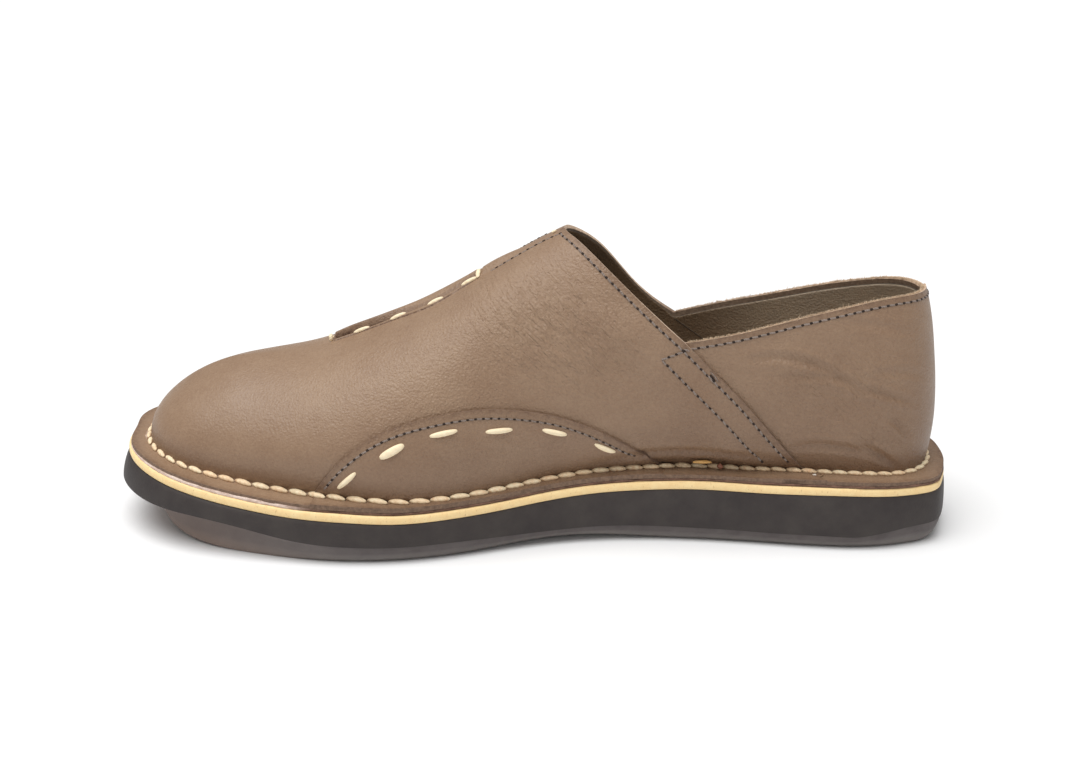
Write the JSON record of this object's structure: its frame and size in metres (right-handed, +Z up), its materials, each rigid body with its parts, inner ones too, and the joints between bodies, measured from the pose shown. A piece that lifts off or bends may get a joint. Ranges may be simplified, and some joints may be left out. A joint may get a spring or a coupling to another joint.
{
  "type": "slip-on shoe",
  "caption": "Low leather slip-on shoe for a right foot: hollow upper open at the collar, its flange sewn to a tan midsole over a black rubber sole.",
  "frame": {"origin": "centre of the bounding box in plan, at the height of the floor under the sole", "axes": "+X from toe to heel, +Y from the inner (medial) side to the outer (lateral) side, +Z up"},
  "size_m": [0.2994, 0.1092, 0.1053],
  "materials": {
    "black_rubber": "matt black, smooth wall",
    "tan_leather": "natural tan, cut edge",
    "insole_leather": "matt",
    "brown_leather": "smooth, satin, fine grain",
    "lining_leather": "matt, olive brown",
    "cream_thread": "waxed thick thread",
    "dark_thread": "thin thread"
  },
  "bodies": {
    "root": {"outsole": "black_rubber", "midsole": "tan_leather", "insole": "insole_leather", "upper": "brown_leather"}
  },
  "joints": []
}
